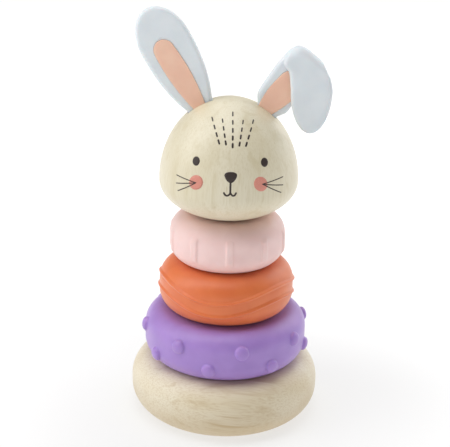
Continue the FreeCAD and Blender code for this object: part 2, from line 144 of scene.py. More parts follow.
class Paint:
    """A material in the making: one Principled shader and the nodes that feed it.

    A scale is a number of features per metre along X, Y and Z.
    """

    def __init__(self, name):
        self.material = bpy.data.materials.new(name)
        self.material.use_nodes = True
        self.tree = self.material.node_tree
        self.shader = self.tree.nodes["Principled BSDF"]

    def node(self, kind, **settings):
        made = self.tree.nodes.new("ShaderNode" + kind)
        for key, value in settings.items():
            setattr(made, key, value)
        return made

    def join(self, source, target):
        self.tree.links.new(source, target)

    def set(self, **sockets):
        """Fixed values of the shader's inputs, with _ for each space in an input's name."""
        for key, value in sockets.items():
            self.shader.inputs[key.replace("_", " ")].default_value = value

    def place(self, scale, turn=(0, 0, 0)):
        """Coordinates on the object, turned back by degrees and then scaled."""
        coordinates = self.node("TexCoord")
        mapping = self.node("Mapping", vector_type="TEXTURE")
        mapping.inputs["Scale"].default_value = [1 / value for value in scale]
        mapping.inputs["Rotation"].default_value = [math.radians(v) for v in turn]
        self.join(coordinates.outputs["Object"], mapping.inputs["Vector"])
        return mapping.outputs["Vector"]

    def along(self, axis):
        """Distance from the object's origin along X, Y or Z (0, 1 or 2), in metres."""
        coordinates = self.node("TexCoord")
        parts = self.node("SeparateXYZ")
        self.join(coordinates.outputs["Object"], parts.inputs["Vector"])
        return parts.outputs[axis]

    def math(self, operation, *values):
        """The result of an operation on one or two other nodes' outputs."""
        made = self.node("Math", operation=operation)
        for value, socket in zip(values, made.inputs):
            self.join(value, socket)
        return made.outputs["Value"]

    def noise(self, scale, detail=2, roughness=0.5, distortion=0, turn=(0, 0, 0)):
        made = self.node("TexNoise")
        made.inputs["Scale"].default_value = 1
        made.inputs["Detail"].default_value = detail
        made.inputs["Roughness"].default_value = roughness
        made.inputs["Distortion"].default_value = distortion
        self.join(self.place(scale, turn), made.inputs["Vector"])
        return made.outputs["Fac"]

    def ramp(self, factor, low, high, low_value=0.0, high_value=1.0):
        """factor from low to high, stretched to low_value..high_value."""
        made = self.node("MapRange", interpolation_type="SMOOTHSTEP")
        made.inputs["From Min"].default_value = low
        made.inputs["From Max"].default_value = high
        made.inputs["To Min"].default_value = low_value
        made.inputs["To Max"].default_value = high_value
        self.join(factor, made.inputs["Value"])
        return made.outputs["Result"]

    def mix(self, factor, first, second):
        """Colour from first to second; each is a colour or another node's output."""
        made = self.node("Mix", data_type="RGBA")
        self.join(factor, made.inputs["Factor"])
        for socket, value in ((made.inputs[6], first), (made.inputs[7], second)):
            if isinstance(value, tuple):
                socket.default_value = value
            else:
                self.join(value, socket)
        return made.outputs[2]

    def colour(self, source):
        self.join(source, self.shader.inputs["Base Color"])

    def roughness(self, source):
        self.join(source, self.shader.inputs["Roughness"])

    def bump(self, height, depth):
        """Fine grain, too small to model, of a depth in millimetres."""
        made = self.node("Bump")
        made.inputs["Strength"].default_value = 1
        made.inputs["Distance"].default_value = depth * MM
        self.join(height, made.inputs["Height"])
        self.join(made.outputs["Normal"], self.shader.inputs["Normal"])


# where the fibres run, as an axis
ALONG_X = 0
ALONG_Z = 2
# how far up the base the painted shade at its foot reaches; the wood is painted tanner towards the
# bottom
FOOT_SHADE_REACH = 20 * MM
# distances along the fibres over which side grain turns into end grain
BASE_END_GRAIN = (16 * MM, 34 * MM)
HEAD_END_GRAIN = (150 * MM, 156 * MM)
POST_TOP = box_mm("post")[1][2] * MM
POST_END_GRAIN = (POST_TOP - 2 * MM, POST_TOP)


def along_fibres(fibre, across, along):
    """Scale with one value across the wood's fibres and another along them; fibre is 0, 1 or 2."""
    scale = [across] * 3
    scale[fibre] = along
    return scale


def wood(name, pale, tan, fibre, tilt, grain, streaks, pores, quiet_ends, foot=0.0):
    """Pale maple: soft broad bands, grain lines, a few long streaks, fine fibres and small pores.

    The fibres run along one axis (0, 1 or 2), tilted about the others by degrees. Their marks
    fade over quiet_ends, where the end grain starts, and foot is a share of painted shade that
    makes the wood tanner towards the bottom.
    """
    paint = Paint(name)
    bands = paint.ramp(paint.noise(along_fibres(fibre, 55, 8), 2, turn=tilt), 0.35, 0.7, 0, 0.5)
    fine_lines = paint.noise(along_fibres(fibre, 300, 6), 1, 0.4, 0.3, tilt)
    lines = paint.ramp(fine_lines, 0.5, 0.75, 0, grain)
    fibres = paint.noise(along_fibres(fibre, 1700, 40), 2, 0.55, turn=tilt)
    fine = paint.ramp(fibres, 0.4, 0.75, 0, 0.35)
    specks = paint.ramp(paint.noise(along_fibres(fibre, 900, 90), 1, turn=tilt), 0.7, 0.8, 0, pores)
    long_lines = paint.noise(along_fibres(fibre, 210, 4), 1, 0.5, 0.6, tilt)
    dark = paint.ramp(long_lines, 0.6, 0.72, 0, streaks)
    between = [(a + b) / 2 for a, b in zip(pale, tan)]
    tone = paint.mix(bands, linear(*pale), linear(*between))
    # painted shade: the wood turns tanner towards its bottom, by the share foot
    low = paint.ramp(paint.along(2), 0, FOOT_SHADE_REACH, foot, 0)
    side_grain = paint.ramp(paint.math("ABSOLUTE", paint.along(fibre)), *quiet_ends, 1, 0)
    for layer in (lines, dark, specks):
        tone = paint.mix(paint.math("MULTIPLY", layer, side_grain), tone, linear(*tan))
    for layer in (fine, low):
        tone = paint.mix(layer, tone, linear(*tan))
    paint.colour(tone)
    paint.bump(fibres, 0.01)
    return paint


def lacquer(paint, patches, low, high, coat, coat_roughness):
    """Clear varnish under which the roughness goes from low to high in patches."""
    paint.roughness(paint.ramp(paint.noise([patches] * 3), 0.3, 0.7, low, high))
    paint.set(Coat_Weight=coat, Coat_Roughness=coat_roughness)
    return paint.material


def make_base_wood():
    """Disc cut along the plank, so its end grain is at its two ends in X."""
    paint = wood(
        "base_wood",
        pale=(239, 229, 205),
        tan=(192, 161, 106),
        fibre=ALONG_X,
        tilt=(0, 7, 4),
        grain=0.3,
        streaks=0.45,
        pores=0.05,
        quiet_ends=BASE_END_GRAIN,
        # painted shade: the base's foot is made tanner towards the bottom
        foot=0.5,
    )
    return lacquer(paint, 500, 0.5, 0.62, coat=0.5, coat_roughness=0.4)


def make_post_wood():
    """Dowel, with its fibres along it and its end grain at the top."""
    paint = wood(
        "post_wood",
        pale=(233, 222, 198),
        tan=(196, 168, 120),
        fibre=ALONG_Z,
        tilt=(0, 2, 0),
        grain=0.25,
        streaks=0.3,
        pores=0.1,
        quiet_ends=POST_END_GRAIN,
    )
    return lacquer(paint, 500, 0.5, 0.62, coat=0.3, coat_roughness=0.4)


def make_head_wood():
    """Upright fibres with many short pores, under a glossier varnish."""
    paint = wood(
        "head_wood",
        pale=(225, 217, 193),
        tan=(201, 187, 148),
        fibre=ALONG_Z,
        tilt=(0, 2, 0),
        grain=0.28,
        streaks=0.3,
        pores=0.6,
        quiet_ends=HEAD_END_GRAIN,
    )
    return lacquer(paint, 300, 0.38, 0.5, coat=0.4, coat_roughness=0.3)


def make_silicone(name, colour, shade, gloss=0.0, sheen=0.45):
    """Moulded silicone: faint cloudy colour, fine dull grain, a little light inside."""
    paint = Paint(name)
    clouds = paint.ramp(paint.noise([120] * 3, 3), 0.3, 0.7)
    paint.colour(paint.mix(clouds, linear(*colour), linear(*shade)))
    grain = paint.noise([2400] * 3, 2, 0.6)
    paint.roughness(paint.ramp(grain, 0.3, 0.7, 0.5, 0.6))
    paint.bump(grain, 0.012)
    paint.set(Subsurface_Weight=0.22, Subsurface_Radius=(1.0, 0.5, 0.4), Subsurface_Scale=1.1 * MM)
    paint.set(Specular_IOR_Level=0.5, Sheen_Weight=sheen, Sheen_Roughness=0.4)
    paint.set(Coat_Weight=gloss, Coat_Roughness=0.4)
    return paint.material


def make_print(name, colour, worn):
    """Printed ink: dull, with faint specks where it is thinner."""
    paint = Paint(name)
    specks = paint.ramp(paint.noise([3000] * 3, 2), 0.45, 0.75)
    paint.colour(paint.mix(specks, linear(*colour), linear(*worn)))
    paint.roughness(paint.ramp(specks, 0, 1, 0.42, 0.6))
    return paint.material


def make_steel():
    """Zinc-plated steel with faint turning marks."""
    paint = Paint("screw_steel")
    marks = paint.noise((9000, 9000, 1500), 2)
    paint.colour(paint.mix(marks, linear(150, 150, 152), linear(196, 196, 200)))
    paint.roughness(paint.ramp(marks, 0.3, 0.7, 0.25, 0.42))
    paint.set(Metallic=1.0)
    return paint.material


# ---------------------------------------------------------------- rings

# radii, and the rounds that a ring's section is made of
RING_BORE = 10.5
RING_BORE_ROUND = 3
PURPLE_RADIUS = 38.5
PURPLE_EDGE = 8.8
ORANGE_RADIUS = 31.7
ORANGE_EDGE = 9.5
PINK_RADIUS = 27
PINK_EDGE = 9

# mesh steps where a ring is plain; one in PLAIN_SKIP of the fine rows is kept there
COARSE = 1.2
BORE_STEP = 3
BORE_ROUND_STEP = 0.5
PLAIN_SKIP = 4

# each row of bumps has its first turn and its height above the ring's middle
BUMPS_PER_ROW = 8
BUMP_SPACING = 360 / BUMPS_PER_ROW
BUMP_ROWS = ((11.7, 4.4), (34.2, -4.4))
BUMP_RADIUS = 3.3
BUMP_HEIGHT = 2.0
BUMP_CURVE = 0.9
BUMP_WALL_INSET = 0.2
BUMP_WALL_SOFTNESS = 0.1
# keeps the exponential in a bump's wall from overflowing
WALL_LIMIT = 40

# each wavy welt has its height above the ring's middle and the swing of its waves
WAVES = 3
WAVE_TURN = 9.5
WAVE_ROWS = ((4.0, 2.4), (-2.2, 2.6))
WELT_HALF_WIDTH = 1.05
WELT_HEIGHT = 0.8
WELT_FOOT = 1.15

# upright ribs, flat on top, that taper and fade out at their ends
RIBS = 10
RIB_SPACING = 360 / RIBS
RIB_TURN = 2.5
RIB_HALF_WIDTH = 1.9
RIB_HALF_LENGTH = 7
RIB_TAPER = 1.0
RIB_FADE = 3
RIB_HEIGHT = 0.6
RIB_EDGE = (-0.3, 0.9)


def ring_section(radius, low, high, edge, fine, fine_reach):
    """Closed half section of a ring as (radius, height) points and normals, finer near mid-height."""
    inner = RING_BORE + RING_BORE_ROUND
    runs = [
        arc((radius - edge, low + edge), edge, -90, 0, fine),
        line((radius, low + edge), (radius, high - edge), (1, 0), fine),
        arc((radius - edge, high - edge), edge, 0, 90, fine),
        line((radius - edge, high), (inner, high), (0, 1), COARSE),
        arc((inner, high - RING_BORE_ROUND), RING_BORE_ROUND, 90, 180, BORE_ROUND_STEP),
        line(
            (RING_BORE, high - RING_BORE_ROUND),
            (RING_BORE, low + RING_BORE_ROUND),
            (-1, 0),
            BORE_STEP,
        ),
        arc((inner, low + RING_BORE_ROUND), RING_BORE_ROUND, 180, 270, BORE_ROUND_STEP),
        line((inner, low), (radius - edge, low), (0, -1), COARSE),
    ]
    outer_count = sum(len(points) for points, _ in runs[:3])
    points = np.concatenate([run[0] for run in runs])
    normals = np.concatenate([run[1] for run in runs])
    index = np.arange(len(points))
    near = abs(points[:, 1] - (low + high) / 2) < fine_reach
    keep = (index >= outer_count) | near | (index % PLAIN_SKIP == 0)
    return points[keep], normals[keep]


def fine_turns(centres, half_reach, fine, coarse):
    """Turns round the post, in degrees: fine steps within half_reach of each centre, coarse between."""
    turns = []
    for here, following in zip(centres, centres[1:] + [centres[0] + 360]):
        inside = np.arange(here - half_reach, here + half_reach, fine)
        gap = following - here - 2 * half_reach
        count = max(1, round(gap / coarse))
        outside = here + half_reach + np.arange(count) * gap / count
        turns += list(inside) + list(outside)
    return np.array(turns)


def sweep_ring(name, section, normals, turns, relief, material):
    """Sweep a section about the post, pushed out along its normals by relief(turn, point)."""
    turn = np.radians(turns)[None, :]
    height = relief(turns[None, :], section[:, None, :], normals[:, None, :])
    radius = section[:, 0, None] + normals[:, 0, None] * height
    up = section[:, 1, None] + normals[:, 1, None] * height
    points = np.stack([radius * np.sin(turn), -radius * np.cos(turn), up], 2)
    return make_piece(name, *join_loops(list(points), closed=True), material)


def off_nearest(turns, first, spacing):
    """Degrees from the nearest of the features that lie spacing apart, counted from the first."""
    return (turns - first + spacing / 2) % spacing - spacing / 2


def outer_only(height, normals):
    """Relief on the outer half of a ring's section, and none towards the post."""
    return np.where(normals[..., 0] > 0, height, 0)


def bump_relief(middle):
    """Two rows of round bumps: low domes with steep, softened walls."""

    def relief(turns, section, normals):
        height = 0
        for first, lift in BUMP_ROWS:
            off = off_nearest(turns, first, BUMP_SPACING)
            across = section[..., 0] * np.radians(off)
            up = section[..., 1] - (middle + lift)
            distance = np.hypot(across, up)
            fall = BUMP_CURVE * (distance / BUMP_RADIUS) ** 2
            dome = BUMP_HEIGHT * np.sqrt(np.clip(1 - fall, 0, 1))
            past_wall = (distance - BUMP_RADIUS + BUMP_WALL_INSET) / BUMP_WALL_SOFTNESS
            wall = 1 / (1 + np.exp(np.clip(past_wall, -WALL_LIMIT, WALL_LIMIT)))
            height = height + dome * wall
        return outer_only(height, normals)

    return relief


def wave_relief(middle):
    """Two raised welts that wave up and down as they go round."""

    def relief(turns, section, normals):
        height = 0
        for lift, swing in WAVE_ROWS:
            crest = middle + lift - swing * np.cos(np.radians(WAVES * (turns + WAVE_TURN)))
            distance = abs(section[..., 1] - crest) / WELT_HALF_WIDTH
            height = np.maximum(height, WELT_HEIGHT * (1 - smooth_step(0, WELT_FOOT, distance)))
        return outer_only(height, normals)

    return relief


def rib_relief(middle):
    """Low upright ribs evenly round the ring."""

    def relief(turns, section, normals):
        off = off_nearest(turns, RIB_TURN, RIB_SPACING)
        across = abs(section[..., 0] * np.radians(off))
        up = abs(section[..., 1] - middle)
        taper = (RIB_HALF_LENGTH - up) * RIB_HALF_WIDTH / RIB_TAPER
        inside = np.minimum(RIB_HALF_WIDTH, taper) - across
        ends = smooth_step(0, RIB_FADE, RIB_HALF_LENGTH - up)
        return outer_only(RIB_HEIGHT * smooth_step(*RIB_EDGE, inside) * ends, normals)

    return relief


def ring_heights(node):
    """Lowest, middle and highest height of a CAD ring."""
    low, high = box_mm(node)
    return low[2], (low[2] + high[2]) / 2, high[2]


def make_rings():
    """The three rings, with fine meshes only where their relief is."""
    low, middle, high = ring_heights("purple_ring")
    bump_turns = [first + BUMP_SPACING * i for i in range(BUMPS_PER_ROW) for first, _ in BUMP_ROWS]
    section = ring_section(PURPLE_RADIUS, low, high, PURPLE_EDGE, fine=0.25, fine_reach=8.2)
    turns = fine_turns(bump_turns, half_reach=5.4, fine=0.36, coarse=1.9)
    material = make_silicone("purple_silicone", (172, 136, 212), (165, 129, 206), 0.6, 0.12)
    purple = sweep_ring("purple_silicone_ring", *section, turns, bump_relief(middle), material)

    low, middle, high = ring_heights("orange_ring")
    section = ring_section(ORANGE_RADIUS, low, high, ORANGE_EDGE, fine=0.22, fine_reach=8.2)
    turns = np.arange(0, 360, 1.2)
    material = make_silicone("orange_silicone", (232, 120, 57), (226, 112, 51), 0.6, 0.12)
    orange = sweep_ring("orange_silicone_ring", *section, turns, wave_relief(middle), material)

    low, middle, high = ring_heights("pink_ring")
    rib_turns = [RIB_TURN + RIB_SPACING * i for i in range(RIBS)]
    section = ring_section(PINK_RADIUS, low, high, PINK_EDGE, fine=0.3, fine_reach=7.4)
    turns = fine_turns(rib_turns, half_reach=4.4, fine=0.3, coarse=2.2)
    material = make_silicone("pink_silicone", (245, 212, 208), (240, 205, 201), 0.2, 0.12)
    pink = sweep_ring("pink_silicone_ring", *section, turns, rib_relief(middle), material)

    for piece, colour in ((purple, "purple"), (orange, "orange"), (pink, "pink")):
        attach(piece, colour)
        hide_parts(colour + "_ring")


# ---------------------------------------------------------------- ears

EAR_HALF_THICKNESS = 2.1
EAR_RIM_ROUND = 1.7
EAR_TAB = 9
EAR_FOOT_RISE = 4

# the lining and the shallow window that it lies in; FLOOR is the window's depth
LINING_PROUD = 0.4
LINING_FLOOR = 1.3
LINING_LIFT = 0.05
LINING_GAP = 0.12
LINING_ROUND = 0.25
LINING_ROOT = 6
LINING_FOOT_RISE = 2
WINDOW_LIP = 0.1
WINDOW_LIP_DEPTH = 0.15

# how many points an outline has on each side, round its tip and along its foot
STATIONS = 100
TIP_FAN = 30
FOOT_COUNT = 5


def through(points, count):
    """Points evenly numbered along a smooth curve through the given ones (a Catmull-Rom spline)."""
    points = np.array(points, float)
    ends = [2 * points[0] - points[1], *points, 2 * points[-1] - points[-2]]
    place = np.linspace(0, len(points) - 1, count)
    made = []
    for value in place:
        i = min(int(value), len(points) - 2)
        share = value - i
        before, here, after, beyond = ends[i : i + 4]
        made.append(
            0.5
            * (
                2 * here
                + (after - before) * share
                + (2 * before - 5 * here + 4 * after - beyond) * share**2
                + (3 * here - before - 3 * after + beyond) * share**3
            )
        )
    return np.array(made)


class Outline:
    """A flat closed shape: rim points in order, each with a partner on the spine up the middle."""

    def __init__(self, rim, spine):
        self.rim = rim
        self.spine = spine

    def inset(self, depth):
        """The rim moved inwards by depth, towards the spine."""
        way = self.spine - self.rim
        length = np.maximum(np.linalg.norm(way, axis=1, keepdims=True), 1e-6)
        return self.rim + way * np.minimum(depth / length, 1)


def closed_outline(right, left, tip, foot_rise):
    """Outline from its right side, the points round its tip, its left side and a straight foot."""
    middle = (right + left) / 2
    middle[:, 1] = np.maximum(middle[:, 1], middle[0, 1] + foot_rise)
    share = np.linspace(0, 1, FOOT_COUNT + 2)[1:-1, None]
    foot = left[0] + share * (right[0] - left[0])
    tip_spine = np.tile(middle[-1], (len(tip), 1))
    foot_spine = np.tile(middle[0], (len(foot), 1))
    rim = np.concatenate([right, tip, left[::-1], foot])
    return Outline(rim, np.concatenate([middle, tip_spine, middle[::-1], foot_spine]))


def facing(outline, window):
    """The window with one rim point for each of the outline's: the nearest, always going one way.

    Its spine lies midway between each point and the one across from it, so that the two meet.
    """
    gaps = np.linalg.norm(outline.rim[:, None] - window.rim[None], axis=2)
    count = len(window.rim)
    nearest = np.maximum.accumulate(np.unwrap(gaps.argmin(axis=1), period=count))
    rim = window.rim[nearest.astype(int) % count]
    across = (len(rim) - FOOT_COUNT - 1 - np.arange(len(rim))) % len(rim)
    return Outline(rim, (rim + rim[across]) / 2)


def at_height(flat, height):
    """Flat points (across, along) with a third value, the height above the plate's middle."""
    return np.column_stack([flat, np.full(len(flat), float(height))])


def rounded_rim(outline, level, radius, sign):
    """Loops of a quarter-round rim that ends on the face at the given level."""
    loops = []
    for turn in np.radians((0, 22.5, 45, 67.5, 90)):
        inset = radius * (1 - math.cos(turn))
        loops.append(at_height(outline.inset(inset), level - sign * radius * (1 - math.sin(turn))))
    return loops


def spread_to(loop, spine, height, count):
    """Loops from a face's edge in to its spine, all at one height."""
    flat = loop[:, :2]
    shares = np.linspace(0, 1, count + 1)[1:]
    return [at_height(flat + share * (spine - flat), height) for share in shares]


def plate(outline, window, fold_to):
    """Skin of a soft plate with a shallow window in its front for the lining."""
    half = EAR_HALF_THICKNESS
    window = facing(outline, window)
    front = rounded_rim(outline, half, EAR_RIM_ROUND, 1)
    front += spread_to(front[-1], window.rim, half, 12)
    front.append(at_height(window.inset(WINDOW_LIP), half - WINDOW_LIP_DEPTH))
    front.append(at_height(window.inset(LINING_GAP), half - LINING_FLOOR))
    front += spread_to(front[-1], window.spine, half - LINING_FLOOR, 4)
    back = rounded_rim(outline, -half, EAR_RIM_ROUND, -1)
    back += spread_to(back[-1], outline.spine, -half, 7)
    points, faces = join_loops(front[::-1] + back)
    return fold_to(points), faces


def lining(window, fold_to):
    """Skin of the thin lining that fills the window and stands a little proud of it."""
    top = EAR_HALF_THICKNESS + LINING_PROUD
    foot = EAR_HALF_THICKNESS - LINING_FLOOR + LINING_LIFT
    slim = Outline(window.inset(LINING_GAP), window.spine)
    front = rounded_rim(slim, top, LINING_ROUND, 1)
    front += spread_to(front[-1], slim.spine, top, 4)
    back = [at_height(slim.rim, foot)]
    back += spread_to(back[-1], slim.spine, foot, 4)
    points, faces = join_loops(front[::-1] + back)
    return fold_to(points), faces


def leaning(points, root, lean):
    """Points (across, up) in an ear's own frame, as (x, z) in the object's frame."""
    turn = math.radians(lean)
    across, up = points.T
    x = root[0] + across * math.cos(turn) - up * math.sin(turn)
    z = root[1] + across * math.sin(turn) + up * math.cos(turn)
    return np.column_stack([x, z])


def widening(up, narrow, wide, reach):
    """Half width that grows from narrow at the root to wide at reach, and stays so."""
    return wide - (wide - narrow) * np.clip(1 - up / reach, 0, 1) ** 3


def round_tip(centre, half_width, length):
    """Points half round an elliptical tip, from right to left, without its two ends."""
    turn = np.linspace(0, math.pi, TIP_FAN + 2)[1:-1]
    return np.array(centre) + np.stack([half_width * np.cos(turn), length * np.sin(turn)], 1)


def lining_outline(top, widest, half_width, root_half_width, start, drift):
    """A lining that is widest part way up, and whose middle drifts sideways as it rises."""
    up = np.linspace(-LINING_ROOT, top, STATIONS)
    wide = half_width - (half_width - root_half_width) * (1 - np.maximum(up, 0) / widest) ** 2
    middle = start + drift * up
    right = np.column_stack([middle + wide, up])
    left = np.column_stack([middle - wide, up])
    tip = round_tip((middle[-1], top), wide[-1], wide[-1])
    return closed_outline(right, left, tip, LINING_FOOT_RISE)


# each ear starts at its root, a place (x, z), and leans to the left by degrees
UPRIGHT_ROOT = (-13.9, 148.7)
UPRIGHT_LEAN = 29.5
UPRIGHT_TAB_HALF_WIDTH = 6.4
UPRIGHT_HALF_WIDTH = 11.9
UPRIGHT_REACH = 36
UPRIGHT_SHOULDER = 31
UPRIGHT_LENGTH = 48.4


def upright_place(points):
    """Ear points (across, up, height) in the object's frame."""
    flat = leaning(points[:, :2], UPRIGHT_ROOT, UPRIGHT_LEAN)
    return np.column_stack([flat[:, 0], -points[:, 2], flat[:, 1]])


def upright_outline():
    """Sides that widen towards the shoulder, and an elliptical tip."""
    up = np.linspace(-EAR_TAB, UPRIGHT_SHOULDER, STATIONS)
    wide = widening(up, UPRIGHT_TAB_HALF_WIDTH, UPRIGHT_HALF_WIDTH, UPRIGHT_REACH)
    right = np.column_stack([wide, up])
    left = np.column_stack([-wide, up])
    tip = round_tip((0, UPRIGHT_SHOULDER), wide[-1], UPRIGHT_LENGTH - UPRIGHT_SHOULDER)
    return closed_outline(right, left, tip, EAR_FOOT_RISE)


def upright_window():
    return lining_outline(
        top=29, widest=20, half_width=5.2, root_half_width=3.1, start=-0.2, drift=-0.055
    )


FOLDED_ROOT = (16.8, 147.1)
FOLDED_LEAN = -33
FOLDED_TAB_HALF_WIDTH = 5.2
STEM_HALF_WIDTH = 8.2
STEM_REACH = 7
STEM_SHIFT = -0.3
STEM_LENGTH = 20
STEM_POINTS = 8

# the fold's top (x, z), its fall to each side as (depth, reach), and the x of its two ends
FOLD_TOP = (29.5, 172.2)
FOLD_RADIUS = 2.35
FOLD_FALL_LEFT = (2.1, 3)
FOLD_FALL_RIGHT = (9, 9.5)
FOLD_ENDS = (25, 40.6)

# the flap is an ellipse about its middle (x, z), bent above BEND_FROM and widened at LAP_AT
FLAP_POINTS = 7
FLAP_MIDDLE = (36.1, 157)
FLAP_HALF_WIDTH = 9.3
FLAP_ABOVE = 21
FLAP_BELOW = 19.3
FLAP_BEND = 0.0108
FLAP_BEND_FROM = 152
FLAP_TOP_LEFT = 170
FLAP_TOP_RIGHT = 163.5
FLAP_LAP = 2.6
FLAP_LAP_AT = 169
FLAP_LAP_REACH = 2.6


def fold_line(x):
    """Height of the fold, which falls away by a depth, over a reach, on each side of its top."""
    off = x - FOLD_TOP[0]
    fall = np.where(off < 0, FOLD_FALL_LEFT[0], FOLD_FALL_RIGHT[0])
    reach = np.where(off < 0, FOLD_FALL_LEFT[1], FOLD_FALL_RIGHT[1])
    return FOLD_TOP[1] - fall * (1 - np.exp(-((off / reach) ** 2)))


def on_stem(points):
    """Points (x, z) of the stem as (x, way past the fold's start), which is negative here."""
    x, z = points.T
    return np.column_stack([x, z - fold_line(x)])


def on_flap(points):
    """Points (x, z) of the flap as (x, way past the fold's start), round the fold and down."""
    x, z = points.T
    return np.column_stack([x, math.pi * FOLD_RADIUS + fold_line(x) - z])


def folded_place(points):
    """Stem behind, then round the fold, then the flap in front."""
    x, way, height = points.T
    turn = np.clip(way / FOLD_RADIUS, 0, math.pi)
    past = np.maximum(way - math.pi * FOLD_RADIUS, 0)
    radius = FOLD_RADIUS - height
    rise = np.where(way < 0, way, radius * np.sin(turn) - past)
    forward = np.where(way < 0, height, FOLD_RADIUS - radius * np.cos(turn))
    return np.column_stack([x, -forward, fold_line(x) + rise])


def flap_middle(z):
    """The flap's middle line, which bends back to the left higher up."""
    return FLAP_MIDDLE[0] - FLAP_BEND * (z - FLAP_BEND_FROM) ** 2


def flap_side(sign):
    """The flap's edge down to its belly: an ellipse, whose left side laps over the stem at its top."""
    z = np.linspace(FLAP_TOP_RIGHT if sign > 0 else FLAP_TOP_LEFT, FLAP_MIDDLE[1], FLAP_POINTS)
    half = FLAP_HALF_WIDTH * np.sqrt(1 - ((z - FLAP_MIDDLE[1]) / FLAP_ABOVE) ** 2)
    if sign < 0:
        half += FLAP_LAP * np.exp(-(((z - FLAP_LAP_AT) / FLAP_LAP_REACH) ** 2))
    return np.column_stack([flap_middle(z) + sign * half, z])


def folded_side(sign):
    """One side of the folded ear: up the stem, over the end of the fold, down the flap."""
    up = np.linspace(-EAR_TAB, STEM_LENGTH, STEM_POINTS)
    half = widening(up, FOLDED_TAB_HALF_WIDTH, STEM_HALF_WIDTH, STEM_REACH)
    shift = STEM_SHIFT * np.clip(up / STEM_REACH, 0, 1)
    stem = leaning(np.column_stack([shift + sign * half, up]), FOLDED_ROOT, FOLDED_LEAN)
    crest = [[FOLD_ENDS[1] if sign > 0 else FOLD_ENDS[0], math.pi * FOLD_RADIUS / 2]]
    return through(np.concatenate([on_stem(stem), crest, on_flap(flap_side(sign))]), STATIONS)


def folded_outline():
    """Both sides of the folded ear, joined round the flap's tip and across the tab."""
    belly = FLAP_MIDDLE[1]
    tip = on_flap(round_tip((flap_middle(belly), belly), FLAP_HALF_WIDTH, -FLAP_BELOW))
    return closed_outline(folded_side(1), folded_side(-1), tip, EAR_FOOT_RISE)


def folded_window():
    """The lining lies on the stem only."""
    flat = lining_outline(
        top=15.5, widest=13, half_width=6, root_half_width=3.9, start=-1.1, drift=0.16
    )
    parts = (flat.rim, flat.spine)
    return Outline(*[on_stem(leaning(part, FOLDED_ROOT, FOLDED_LEAN)) for part in parts])


def make_ears():
    silicone = make_silicone("ear_silicone", (224, 230, 234), (218, 225, 230))
    inside = make_silicone("lining_silicone", (243, 202, 178), (238, 192, 168))
    ears = (
        ("upright", upright_outline(), upright_window(), upright_place),
        ("folded", folded_outline(), folded_window(), folded_place),
    )
    for side, outline, window, place in ears:
        ear = make_piece(side + "_silicone_ear", *plate(outline, window, place), silicone)
        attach(ear, "rabbit")
        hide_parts(side + "_ear")
        liner = make_piece(side + "_silicone_lining", *lining(window, place), inside)
        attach(liner, "rabbit")
        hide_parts(side + "_ear_lining")


# ---------------------------------------------------------------- printed face

HEAD_LOW, HEAD_HIGH = box_mm("head")
HEAD_RADIUS = (HEAD_HIGH[0] - HEAD_LOW[0]) / 2
JAW_HEIGHT = 16.5
JAW_SEMI_AXIS = 17.8
INK_DEPTH = 0.05
FACE_TURN = 1.1
OVAL_LEAN = 0.19

# places on the face are (x to the right, height above the head's underside)
EYE_ACROSS = 14.75
EYE_HEIGHT = 31.6
EYE_HALF_SIZE = (1.55, 1.85)
NOSE_PLACE = (0.2, 26.6)
NOSE_HALF_WIDTH = 2.65
NOSE_HEIGHT = 4.7
NOSE_TAPER = 0.27
NOSE_ABOVE = 0.8
NOSE_BELOW = 1.2
LIP_X = 0.15
LIP_TOP = 24.6
LIP_FOOT = 19.4
LIP_WIDTH = 0.85
SMILE_WIDTH = 0.8
SMILE_MIDDLE = 19.5
CHEEK_ACROSS = 14
CHEEK_SHIFT = -0.7
CHEEK_HEIGHT = 22.7
CHEEK_HALF_SIZE = (3, 3.15)
WHISKER_ROOT = (14.4, 22.6)
WHISKER_SHIFT = -0.3
WHISKER_ENDS = ((23.2, 23.9), (23.4, 20.35), (22.6, 17.2))
WHISKER_WIDTH = 0.39
# whiskers stand proud of the cheeks that they cross
WHISKER_PROUD = 1.5 * INK_DEPTH
OVAL_POINTS = 40
NOSE_POINTS = 60


def on_head(x, up, proud):
    """A point on the head, x to the right and up above its underside, standing proud of the wood."""
    x, up = np.broadcast_arrays(np.asarray(x, float), np.asarray(up, float))
    rise = up - JAW_HEIGHT
    semi = np.where(rise > 0, HEAD_HIGH[2] - HEAD_LOW[2] - JAW_HEIGHT, JAW_SEMI_AXIS)
    radius = HEAD_RADIUS * np.sqrt(1 - (rise / semi) ** 2)
    y = -np.sqrt(radius**2 - x**2)
    normal = np.stack([x / HEAD_RADIUS**2, y / HEAD_RADIUS**2, rise / semi**2], -1)
    normal /= np.linalg.norm(normal, axis=-1, keepdims=True)
    point = np.stack([x, y, up + HEAD_LOW[2]], -1) + proud * normal
    turn = math.radians(FACE_TURN)
    turned_x = point[..., 0] * math.cos(turn) - point[..., 1] * math.sin(turn)
    turned_y = point[..., 0] * math.sin(turn) + point[..., 1] * math.cos(turn)
    return np.stack([turned_x, turned_y, point[..., 2]], -1)


def ink(flat, proud):
    """Points and faces of a thin closed layer of ink over a grid of flat points (rows, columns, 2)."""
    rows, columns, _ = flat.shape
    top = on_head(flat[..., 0], flat[..., 1], proud).reshape(-1, 3)
    bottom = on_head(flat[..., 0], flat[..., 1], -INK_DEPTH).reshape(-1, 3)
    count = rows * columns
    faces = []
    for i in range(rows - 1):
        for j in range(columns - 1):
            a, b = i * columns + j, i * columns + j + 1
            c, d = b + columns, a + columns
            faces.append((a, b, c, d))
            faces.append((count + d, count + c, count + b, count + a))
    edge = list(range(columns))
    edge += [i * columns + columns - 1 for i in range(1, rows)]
    edge += [(rows - 1) * columns + j for j in range(columns - 2, -1, -1)]
    edge += [i * columns for i in range(rows - 2, 0, -1)]
    for a, b in zip(edge, edge[1:] + edge[:1]):
        faces.append((b, a, count + a, count + b))
    return np.concatenate([top, bottom]), faces


